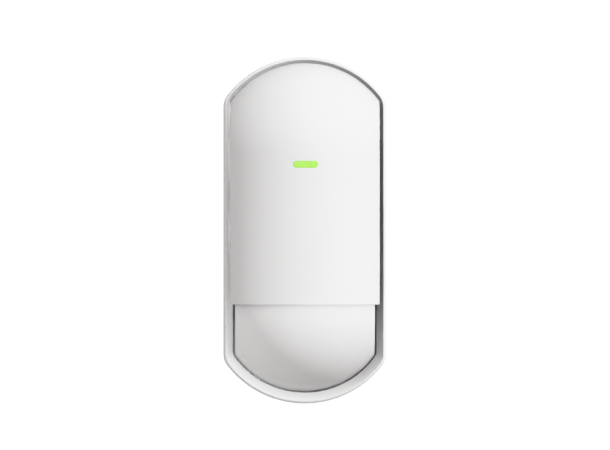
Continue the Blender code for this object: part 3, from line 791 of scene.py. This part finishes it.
def build_base():
    """The rear tray: bosses and ribs inside, pockets in the back, screw and corner holes."""
    rings = [at_depth(body_outline(inset, side), depth) for inset, side, depth in TRAY_RINGS]
    piece = put("rear_tray", loft("rear_tray", rings), BASE_WHITE)
    lock_axis = (0, LOCK_DEPTH, 0)
    added = [
        block((-3.0, 3.0), (1.2, 6.2), (-49.7, -46.7)),
        block((-5.0, 5.0), (1.2, 6.6), (-53.0, -51.8)),
        post(0, -WALL_SCREW_Z, 4.2, 1.0, 2.7),
        prism(pill(6.4, 4.2, WALL_SCREW_Z), 1.0, 2.7),
        post(TAMPER_X, TAMPER_Z, 3.1, 1.0, 2.35),
    ]
    added += [block((x0, x1), (1.0, 2.45), (z0, z1)) for x0, x1, z0, z1 in RIBS]
    cut = [tray_groove(*groove) for groove in GROOVES]
    cut += [prism(round_rectangle(*pocket), -1, 0.5) for pocket in BACK_POCKETS]
    cut += [
        cylinder("lock_counterbore", 2.45, -56, -52.5, "z", lock_axis, 48),
        cylinder("lock_clearance", 1.45, -56, -45, "z", lock_axis, 40),
        turned("wall_hole", WALL_HOLE, "depth", (0, 0, -WALL_SCREW_Z), 48),
        prism(pill(4.3, 2.1, WALL_SCREW_Z), -1, 4),
        post(TAMPER_X, TAMPER_Z, 1.8, -1, 4, 40),
    ]
    cut += [post(x, z, 1.3, 1.66, 2.2, 28) for x, z in FLOOR_MARKS]
    cut += [post(x, z, 1.6, 0.3, 0.62, 32) for x, z in POCKET_MARKS]
    cut += [corner_hole(side, high) for side in (-1, 1) for high in (-1, 1)]
    booleans(piece, *[(ADD, mesh) for mesh in added], *[(CUT, mesh) for mesh in cut])
    finish(piece, "moulded_white", "base", replaces="rear_base")


build_base()


# ---------------------------------------------------------------- CAD nodes with rounded edges
def refine(node, body, material, slot, width):
    """A copy of a CAD node with its flat faces whole again and its edges rounded."""
    bm = bmesh.new()
    bm.from_mesh(NODES[node].data)
    bmesh.ops.remove_doubles(bm, verts=bm.verts, dist=1e-6)
    bmesh.ops.dissolve_limit(bm, angle_limit=math.radians(0.6), verts=bm.verts, edges=bm.edges)
    mesh = bpy.data.meshes.new(node + "_fine")
    bm.to_mesh(mesh)
    bm.free()
    piece = put(node + "_fine", mesh, material)
    finish(piece, slot, body, replaces=node, width=width, angle=35)


# node, body it rides on, material, slot, edge width
REFINED = [
    ("battery_cradle", "front_unit", CHASSIS, "chassis_grey", 0.16),
    ("dip_switch_body", "front_unit", RED, "switch_red", 0.12),
    ("learn_switch_body", "front_unit", BLACK, "black_plastic", 0.08),
    ("learn_button", "learn_button", SWITCH_WHITE, "switch_white", 0.15),
    ("tamper_housing", "front_unit", BLACK, "black_plastic", 0.1),
    ("tamper_plunger", "tamper_plunger", SWITCH_WHITE, "switch_white", 0.15),
    ("battery_contact", "front_unit", SPRING, "spring_steel", 0.06),
    ("creep_mirror", "front_unit", MIRROR, "chromed_plastic", 0.1),
    ("status_led", "front_unit", SWITCH_WHITE, "led_resin", 0.1),
    ("radio_board", "front_unit", BOARD, "board_green", 0.04),
    ("board_screw_top", "front_unit", STEEL, "plated_steel", 0.07),
    ("board_screw_left", "front_unit", STEEL, "plated_steel", 0.07),
    ("board_screw_right", "front_unit", STEEL, "plated_steel", 0.07),
    ("lock_screw", "lock_screw", STEEL, "plated_steel", 0.07),
]
for i in range(1, 5):
    REFINED.append((f"dip_slider_{i}", f"dip_slider_{i}", SWITCH_WHITE, "switch_white", 0.1))
for entry in REFINED:
    refine(*entry)


# ---------------------------------------------------------------- springs and antenna
def tube(name, points, radius, segments=14):
    """A round spring-steel wire along x, depth, z points, domed at both ends."""
    dome = [(0.0, 1.0), (0.35, 0.94), (0.7, 0.71), (0.95, 0.3)]  # along, radius, in wire radii
    path = [point(*p) for p in points]
    last = len(path) - 1
    skin = Skin()
    rows, side = [], None
    for i, centre in enumerate(path):
        ahead = (path[min(i + 1, last)] - path[max(i - 1, 0)]).normalized()
        if side is None:
            side = ahead.orthogonal().normalized()
        side = (side - ahead * side.dot(ahead)).normalized()
        up = ahead.cross(side)
        rings = dome[:1]
        if i == 0:
            rings = [(-along, scale) for along, scale in reversed(dome)]
        if i == last:
            rings = dome
        for along, scale in rings:
            start = len(skin.verts)
            for j in range(segments):
                a = 2 * math.pi * j / segments
                around = (side * math.cos(a) + up * math.sin(a)) * (radius * scale * MM)
                skin.verts.append(centre + ahead * (along * radius * MM) + around)
            rows.append(list(range(start, start + segments)))
    skin.bands(rows, closed=True)
    skin.cap(rows[0])
    skin.cap(rows[-1])
    return put(name, skin.mesh(name), SPRING)


def build_battery_spring(turns=4):
    """A tapering coil under the cell, its wide end 1.2 mm nearer the wall than the cell axis."""
    steps = turns * COIL_STEPS
    helix = []
    for i in range(steps + 1):
        a, t = 2 * math.pi * i / COIL_STEPS, i / steps
        radius = 4.2 - 1.6 * t
        depth = CELL_DEPTH - 1.2 * (1 - t) + radius * math.sin(a)
        helix.append((CELL_X + radius * math.cos(a), depth, 6.95 + 2.05 * t))
    finish(tube("battery_spring_coil", helix, 0.28), "spring_steel", replaces="battery_spring")


def build_tamper_spring(turns=3, radius=1.75):
    """A coil square to the wall, stretched between the front unit and the plunger."""
    steps = turns * COIL_STEPS
    helix = []
    for i in range(steps + 1):
        a = 2 * math.pi * i / COIL_STEPS
        x, z = TAMPER_X + radius * math.cos(a), TAMPER_Z + radius * math.sin(a)
        helix.append((x, 9.7 + 1.25 * i / steps, z))
    piece = tube("tamper_coil", helix, 0.2, 10)
    soften(piece)
    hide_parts("tamper_spring")
    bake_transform(piece)


def build_antenna():
    """A whip that rises from the board, runs up the right side and bends over the top."""
    run_x, run_depth, run_z = 18.6, 12.1, 13.6
    whip = [
        (17.2, 7.95, 9.5), (17.2, 9.4, 9.5), (17.25, 10.3, 9.6), (17.5, 11.2, 10.2),
        (18.0, 11.8, 11.1), (18.4, 12.05, 12.2), (18.57, run_depth, run_z),
    ]
    whip += [(run_x, run_depth, run_z + (ARC_Z - run_z) * i / 6) for i in range(1, 7)]
    whip += at_depth(arc(0, ARC_Z, run_x, 10, 104, 36), run_depth)
    finish(tube("antenna_whip", whip, 0.38, 16), "spring_steel", replaces="antenna")


build_battery_spring()
build_tamper_spring()
build_antenna()

# ---------------------------------------------------------------- cell and capacitor
# radius, z: terminal cap and shoulder, side, bottom
CELL_PROFILE = [
    (0, CELL_TOP), (2.7, CELL_TOP), (2.95, 36.4), (3.0, 36.2), (3.0, 35.72), (3.2, 35.6),
    (5.9, 35.6), (6.1, 35.72), (7.2, 35.72), (7.55, 35.6), (7.74, 35.35),
    *[(CELL_RADIUS, z) for z in (35.0, 30, 25, 20, 15, 10.1)],
    (7.74, 9.8), (7.5, 9.58), (7.1, CELL_BOTTOM), (6.6, 9.6), (0, 9.6),
]
# radius, depth: front end, side, crimp, back end
CAPACITOR_PROFILE = [
    (0, 14.14), (1.9, 14.14), (2.0, 14.2), (2.2, 14.2), (2.42, 14.1), (2.5, 13.9), (2.5, 8.0),
    (2.34, 7.75), (2.34, 7.55), (2.5, 7.3), (2.5, 6.9), (2.4, 6.7), (0, 6.7),
]
CAPACITOR_X, CAPACITOR_Z = 6.0, 32.0


def build_cell():
    mesh = turned("cell_sleeved", CELL_PROFILE, "z", (CELL_X, CELL_DEPTH, 0), 112)
    finish(put("cell_sleeved", mesh, CELL), "cell_sleeve", "battery", replaces="battery_cell")


def build_capacitor():
    """A sleeved can with a cross-shaped vent in its front end."""
    x, z = CAPACITOR_X, CAPACITOR_Z
    mesh = turned("capacitor_can", CAPACITOR_PROFILE, "depth", (x, 0, z), 64)
    piece = put("capacitor_can", mesh, SLEEVE)
    length, width = 1.6, 0.07  # half sizes of a vent groove
    booleans(
        piece,
        (CUT, block((x - length, x + length), (14.05, 15), (z - width, z + width))),
        (CUT, block((x - width, x + width), (14.05, 15), (z - length, z + length))),
    )
    finish(piece, "capacitor_sleeve", replaces="reservoir_capacitor")


build_cell()
build_capacitor()


# ---------------------------------------------------------------- small chips on the board
def build_chips(name, spots, face, material):
    """0603 parts: bodies between two bright ends on small lands. spots are x, z, upright."""
    out = -1 if face == BOARD_REAR else 1
    bodies, ends = [], []

    def sized(x, z, width, height, upright, start, end):
        """A brick whose width and height swap when it is not upright."""
        if not upright:
            width, height = height, width
        return brick(x, z, width, height, face + out * start, face + out * end)

    for x, z, upright in spots:
        bodies.append(sized(x, z, 0.8, 1.0, upright, 0.05, 0.5))
        dx, dz = (0, 1) if upright else (1, 0)
        for k in (-1, 1):
            end, land = k * 0.66, k * 0.95
            ends.append(sized(x + end * dx, z + end * dz, 0.84, 0.34, upright, 0.04, 0.53))
            ends.append(sized(x + land * dx, z + land * dz, 1.0, 0.6, upright, 0, 0.05))
    finish(gather(name + "_bodies", bodies, material), "chip_black", width=0.04)
    finish(gather(name + "_ends", ends, SOLDER), "tinned_steel", width=0.02)


REAR_RESISTORS = [
    *[(-16 + 2.6 * i, 6.4, True) for i in range(5)],
    (-15.6, -1.2, False), (-15.6, -3.4, False), (-15.6, -5.6, False),
    *[(5.2 + 2.4 * i, 2.2, True) for i in range(4)],
    (-6.0, -27.2, True), (-3.6, -27.2, True), (4.6, -27.2, True), (7.2, -27.2, True),
    *[(-9 + 2.6 * i, 40.2, True) for i in range(4)],
    (6.0, 18.2, False), (6.0, 20.4, False), (6.0, 22.6, False),
]
REAR_CAPACITORS = [
    (-1.0, 2.2, False), (2.0, -7.0, False), (-2.2, -7.0, False), (-17.8, 10.4, True),
    (-15.2, 10.4, True), (7.6, -15.4, False), (7.6, -17.6, False), (-7.6, -15.4, False),
    (-7.6, -17.6, False), (14.6, 8.4, True), (17.0, 8.4, True),
]
FRONT_RESISTORS = [
    (4.4, 40.6, True), (6.8, 40.6, True), (9.2, 40.6, True), (11.6, 40.6, False),
    (4.0, 25.2, False), (4.0, 23.2, False), (7.4, 23.2, True), (7.4, 19.6, True),
    (3.6, 17.9, False),
]
FRONT_CAPACITORS = [
    (8.4, 27.6, True), (2.4, 28.4, True), (2.4, 35.8, True), (8.4, 36.6, True),
    (14.6, 39.6, False),
]
build_chips("rear_resistors", REAR_RESISTORS, BOARD_REAR, RESISTOR)
build_chips("rear_capacitors", REAR_CAPACITORS, BOARD_REAR, CERAMIC)
build_chips("front_resistors", FRONT_RESISTORS, BOARD_FRONT, RESISTOR)
build_chips("front_capacitors", FRONT_CAPACITORS, BOARD_FRONT, CERAMIC)

# ---------------------------------------------------------------- solder joints and gold pads
SWITCH_ROW_Z, SWITCH_PITCH = 27.3, 2.6  # lowest row of the four-row pin block, and its pitch
SWITCH_LEFT_X, SWITCH_RIGHT_X = 10.6, 15.4
# x, z of the soldered pins
PINS = [
    *[(x, SWITCH_ROW_Z + SWITCH_PITCH * i) for i in range(4)
      for x in (SWITCH_LEFT_X, SWITCH_RIGHT_X)],
    *[(x, z) for x in (11.7, 16.3) for z in (18.9, 23.1)],
    (5.0, 32.0), (7.0, 32.0), (-12.6, 38.7), (-8.6, 38.7), (-12.4, 6.0), (-8.8, 6.0),
    (10.2, -10.0), (14.8, -5.0), (17.2, 12.2), (-1.8, -21.7), (1.8, -21.7), (-1.8, -25.3),
]
# radius, depth
JOINT_PROFILE = [
    (0, 4.02), (0.22, 4.04), (0.3, 4.3), (0.42, 4.55), (0.66, 4.76), (0.92, 4.88),
    (0.92, BOARD_REAR), (0, BOARD_REAR),
]
ROUND_PADS = [
    (-19, -14), (-19, -17), (-19, -20), (-19, -23), (18.6, -16), (18.6, -19), (6.4, 44.4),
    (9.4, 43.2),
]


def build_joints_and_pads():
    joints = [turned("joint", JOINT_PROFILE, "depth", (x, 0, z), 20) for x, z in PINS]
    finish(gather("solder_joints", joints, SOLDER), "tinned_steel")
    pads = [post(x, z, 0.75, BOARD_REAR - 0.04, BOARD_REAR, 28) for x, z in ROUND_PADS]
    for i in range(8):
        for z in (6.95, 16.65):
            pads.append(brick(5.0 + 1.6 * i, z, 0.8, 0.7, 7.45, 7.5))
    finish(gather("gold_pads", pads, GOLD), "tinned_steel")


build_joints_and_pads()

# ---------------------------------------------------------------- leaded chips
# distance from the chip, depth
LEAD_PROFILE = [
    (0, 4.05), (0.42, 4.05), (0.72, 4.72), (1.25, 4.72), (1.25, 4.88), (0.62, 4.88),
    (0.34, 4.22), (0, 4.22),
]
LEAD_WIDTH = 0.36
SMALL_CHIPS = [(12.6, 14.6), (-14.0, -31.0), (13.4, -28.0), (-3.0, 12.4)]


def lead(x, z, degrees):
    """A gull-wing lead from the chip's side at x, z down to the board, pointing along degrees."""
    c, s = math.cos(math.radians(degrees)), math.sin(math.radians(degrees))
    return loft("lead", [
        [(x + c * u - s * v, depth, z + s * u + c * v) for u, depth in LEAD_PROFILE]
        for v in (-LEAD_WIDTH / 2, LEAD_WIDTH / 2)
    ])


def build_leads():
    leads = []
    reach = 3.45  # from the controller's centre to the root of its leads
    for i in range(8):
        along = -2.8 + 0.8 * i
        leads += [
            lead(CONTROLLER_X + reach, CONTROLLER_Z + along, 0),
            lead(CONTROLLER_X - reach, CONTROLLER_Z + along, 180),
            lead(CONTROLLER_X + along, CONTROLLER_Z + reach, 90),
            lead(CONTROLLER_X + along, CONTROLLER_Z - reach, -90),
        ]
    for x, z in SMALL_CHIPS:
        leads += [lead(x + 0.65, z, 0)]
        leads += [lead(x - 0.65, z - 0.95, 180), lead(x - 0.65, z + 0.95, 180)]
    finish(gather("chip_leads", leads, SOLDER), "tinned_steel", width=0.02)


def build_chip_bodies():
    small = [brick(x, z, 1.3, 2.9, 3.85, 4.8) for x, z in SMALL_CHIPS]
    finish(gather("small_regulators", small, CHIP), "chip_black", width=0.1)
    body = brick(CONTROLLER_X, CONTROLLER_Z, 6.98, 6.98, 3.62, 4.74)
    controller = put("controller_body", body, CHIP)
    dimple = post(CONTROLLER_X - 2.6, CONTROLLER_Z + 2.6, 0.42, 3.0, 3.72, 28)
    booleans(controller, (CUT, dimple))
    finish(controller, "chip_black", replaces="microcontroller", width=0.14)


build_leads()
build_chip_bodies()


# ---------------------------------------------------------------- board tracks
def ribbon(points, width):
    """The outline of a track along x, z points, with mitred bends."""
    left, right = [], []
    last = len(points) - 1
    for i, (x, z) in enumerate(points):
        here = Vector((x, z))
        before, after = Vector(points[max(i - 1, 0)]), Vector(points[min(i + 1, last)])
        into = (here - before).normalized() if i else (after - here).normalized()
        onward = (after - here).normalized() if i < last else into
        normal = Vector((-(into.y + onward.y), into.x + onward.x)).normalized()
        reach = width / 2 / max(0.3, normal.dot(Vector((-into.y, into.x))))
        left.append((x + normal.x * reach, z + normal.y * reach))
        right.append((x - normal.x * reach, z - normal.y * reach))
    return left + right[::-1]


def track_paths():
    """Five bundles of parallel tracks as x, z points; lane is the x of the long upright run."""
    paths = []
    for k in range(4):  # from the controller's top to the pin block
        x, lane, z = -7.6 - 0.8 * k, 9.0 - 0.8 * k, SWITCH_ROW_Z + SWITCH_PITCH * k
        paths.append([(x, 2.3), (x, 3.4), (lane, 3.4 + lane - x), (lane, z - 0.8),
                      (lane + 0.8, z), (SWITCH_LEFT_X, z)])
    for k in range(5):  # from the controller's left up the left side
        z, lane = -5.2 + 0.8 * k, -17.6 - 0.7 * k
        paths.append([(-12.8, z), (-13.6, z), (lane, z + (-13.6 - lane)), (lane, 30.0 + k),
                      (lane + 4.0, 34.0 + k)])
    for k in range(4):  # down from the controller
        x, lane = -10.8 + 0.8 * k, -12.6 + 1.0 * k
        paths.append([(x, -7.3), (x, -8.6), (lane, -8.6 - abs(x - lane)), (lane, -19.0 + k),
                      (lane + 2.4, -21.4 + k)])
    for k in range(3):  # down the right side
        upper, lower = 17.6 + 0.8 * k, 14.0 + 0.8 * k
        paths.append([(upper, 26.0), (upper, 6.0 - k), (lower, 2.4 - k), (lower, -1.6)])
    for k in range(3):  # near the bottom
        x = 3.2 * k
        paths.append([(-10.0 + x, -33.6), (-8.8 + x, -34.8), (-8.8 + x, -40.4), (-7.0 + x, -42.2)])
    return paths


def build_tracks():
    """Slightly raised tracks with a round land at each end."""
    paths = track_paths()
    runs = [prism(ribbon(p, 0.3), BOARD_REAR - 0.035, BOARD_REAR, "track") for p in paths]
    for path in paths:
        for x, z in (path[0], path[-1]):
            runs.append(post(x, z, 0.36, BOARD_REAR - 0.045, BOARD_REAR, 16))
    finish(gather("board_tracks", runs, TRACE), "board_green")


build_tracks()

# ---------------------------------------------------------------- CAD nodes that keep their shape
NODE_MATERIALS = {
    "chassis": CHASSIS, "main_board": BOARD, "pyro_sensor_can": CAN, "pyro_window": FILTER,
    "sensor_shroud": FOAM, "radio_shield": TIN, "crystal": TIN,
}
for name, material in NODE_MATERIALS.items():
    node = NODES[name]
    if not node.material_slots:
        node.data.materials.append(material)
    for slot in node.material_slots:
        slot.material = material

# ---------------------------------------------------------------- stage
floor_mesh = block((-900, 900), (-900, 900), (-232, -230), "stage_floor")
floor = put("stage_floor", floor_mesh, floor_material())
floor.visible_diffuse = False
floor.visible_glossy = False
floor.visible_shadow = False

# The scene is lit at half strength; the tone curve brings it back up and rolls off highlights.
GAIN = 0.5


def build_world(seen_strength, ambient_strength):
    """A white backdrop for the camera and a dimmer, slightly warm light for everything else."""
    world = bpy.data.worlds.new("studio")
    SCENE.world = world
    world.use_nodes = True
    nodes, links = world.node_tree.nodes, world.node_tree.links
    nodes.clear()
    output = nodes.new("ShaderNodeOutputWorld")
    mix = nodes.new("ShaderNodeMixShader")
    seen = nodes.new("ShaderNodeBackground")
    ambient = nodes.new("ShaderNodeBackground")
    path = nodes.new("ShaderNodeLightPath")
    seen.inputs["Color"].default_value = (1, 1, 1, 1)
    seen.inputs["Strength"].default_value = seen_strength
    ambient.inputs["Color"].default_value = (1.025, 1.0, 0.995, 1)
    ambient.inputs["Strength"].default_value = ambient_strength
    links.new(path.outputs["Is Camera Ray"], mix.inputs["Fac"])
    links.new(ambient.outputs[0], mix.inputs[1])
    links.new(seen.outputs[0], mix.inputs[2])
    links.new(mix.outputs[0], output.inputs["Surface"])


build_world(seen_strength=1.6 * GAIN, ambient_strength=0.545 * GAIN)

# ---------------------------------------------------------------- lights
COOL, PLAIN = (0.985, 1.0, 1.005), (1, 1, 1)
BULB_DISTANCE = 0.02  # metres at which a bulb's weight holds
BULB_RADIUS = 2.0  # mm


def lamp(name, kind, energy, pieces, exclude, colour):
    """A diffuse-only lamp without shadows that lights only the pieces, or all but them."""
    light = bpy.data.lights.new(name, kind)
    light.color = colour
    light.use_shadow = False
    light.energy = GAIN * energy
    holder = bpy.data.objects.new(name, light)
    SCENE.collection.objects.link(holder)
    holder.visible_glossy = False
    receivers = bpy.data.collections.new("lit_by_" + name)
    for piece in pieces:
        receivers.objects.link(piece)
    if exclude:
        for item in receivers.collection_objects:
            item.light_linking.link_state = "EXCLUDE"
    holder.light_linking.receiver_collection = receivers
    return holder


def sun(pieces, exclude, name, direction, weight, angle, colour):
    """Weight 1 lights a white face square to it to 1.0. direction points to the light."""
    holder = lamp(name, "SUN", math.pi * weight, pieces, exclude, colour)
    holder.data.angle = math.radians(angle)
    x, out, up = direction
    towards = Vector((x, -out, up)).normalized()
    holder.rotation_euler = towards.to_track_quat("Z", "Y").to_euler()
    holder.location = towards * 2


def bulb(pieces, name, at, weight):
    """Weight 1 lights a white face BULB_DISTANCE away to 1.0."""
    energy = 4 * math.pi**2 * BULB_DISTANCE**2 * weight
    holder = lamp(name, "POINT", energy, pieces, False, PLAIN)
    holder.data.shadow_soft_size = BULB_RADIUS * MM
    holder.location = point(*at)


# name, direction to the light (x, out of the wall, up), weight, angular size in degrees, colour
GENERAL_SUNS = [
    ("key", (0.55, 0.60, 0.58), 0.754, 5, COOL),
    ("low_fill", (0, 0.26, -0.97), 0.06, 30, PLAIN),
    ("front_fill", (0.30, 0.90, -0.30), 0.032, 30, PLAIN),
]
LENS_SUNS = [
    ("lens_key", (0.63, 0.62, 0.47), 0.436, 0.5, COOL),
    ("lens_key_high", (0.60, 0.60, 0.53), 0.329, 0.5, COOL),
    ("lens_key_right", (0.68, 0.58, 0.45), 0.112, 0.5, PLAIN),
    ("lens_key_top", (0.57, 0.60, 0.55), 0.093, 0.5, PLAIN),
    ("lens_left_front", (-0.70, 0.70, 0.20), 0.094, 6, PLAIN),
    ("lens_left_side", (-0.99, 0.10, 0.10), 0.083, 6, PLAIN),
    ("lens_left", (-0.94, 0.45, 0), 0.079, 6, PLAIN),
]
FRAME_SUNS = [
    ("rim_right_front", (0.852, 0.423, 0.31), 0.375, 10, PLAIN),
    ("rim_upper_front", (0.157, 0.423, 0.893), 0.270, 10, PLAIN),
    ("rim_upper_right", (0.453, 0.423, 0.785), 0.128, 10, PLAIN),
    ("rim_key", (0.587, 0.643, 0.492), 0.067, 10, COOL),
    ("rim_high", (0.171, 0.174, 0.97), 0.040, 10, PLAIN),
]
# name, place (x, depth, z in mm), weight
FRAME_BULBS = [
    ("rim_far_right", (40, 36, 45), 0.497),
    ("rim_far_right_mid", (40, 36, 20), 0.662),
    ("rim_far_right_low", (40, 24, -30), 0.296),
    ("rim_crown_left", (-8, 24, 45), 0.142),
    ("rim_crown", (0, 24, 45), 0.082),
    ("rim_left_high", (-16, 16, 38), 0.079),
    ("rim_low", (0, 16, -40), 0.115),
    ("rim_low_near_right", (8, 16, -40), 0.100),
    ("rim_low_near_left", (-8, 16, -40), 0.029),
    ("rim_low_right", (16, 16, -40), 0.062),
    ("rim_low_left", (-14, 14, -36), 0.063),
    ("rim_left_mid", (-12, 24, -34), 0.059),
]
for entry in GENERAL_SUNS:
    sun([flange, front_frame, lens], True, *entry)
for entry in LENS_SUNS:
    sun([lens], False, *entry)
for entry in FRAME_SUNS:
    sun([front_frame], False, *entry)
for entry in FRAME_BULBS:
    bulb([front_frame], *entry)
bulb([flange], "gap_low", (-14, 20, -44), 0.2)
SCENE.cycles.diffuse_bounces = 0
SCENE.cycles.use_light_tree = False

# ---------------------------------------------------------------- camera
SENSOR_WIDTH = 36
SUBJECT_DISTANCE, VIEW_WIDTH = 6000, 189.95  # mm; the width seen at that distance
CAMERA_OUT, CAMERA_LEFT = 6.014, 0.064  # metres out from the wall and left of the middle
CENTRE_X, CENTRE_Z = 0.00021, 0.00168  # metres


def build_camera():
    """A long lens turned back towards the middle by as much as it stands to the left."""
    data = bpy.data.cameras.new("camera")
    data.sensor_width = SENSOR_WIDTH
    data.lens = SENSOR_WIDTH * SUBJECT_DISTANCE / VIEW_WIDTH
    data.clip_start, data.clip_end = 0.5, 50
    camera = bpy.data.objects.new("camera", data)
    SCENE.collection.objects.link(camera)
    camera.location = (CENTRE_X - CAMERA_LEFT, -CAMERA_OUT, CENTRE_Z)
    camera.rotation_euler = (math.radians(90), 0, -math.atan(CAMERA_LEFT / CAMERA_OUT))
    SCENE.camera = camera


build_camera()

# ---------------------------------------------------------------- tone curve
# scene brightness before GAIN, shown brightness
TONE_POINTS = [
    (0, 0), (0.70, 0.70), (0.742, 0.730), (0.807, 0.783), (0.89, 0.831), (0.975, 0.880),
    (1.03, 0.900), (1.2, 0.945), (1.5, 1.0), (2.0, 1.0),
]


def set_tone():
    view = SCENE.view_settings
    view.view_transform = "Standard"
    view.use_curve_mapping = True
    points = view.curve_mapping.curves[3].points  # the combined curve, which starts with two
    for i, (bright, shown) in enumerate(TONE_POINTS):
        if i < 2:
            knot = points[i]
            knot.location = (bright * GAIN, shown)
        else:
            knot = points.new(bright * GAIN, shown)
        knot.handle_type = "VECTOR"
    view.curve_mapping.update()


set_tone()
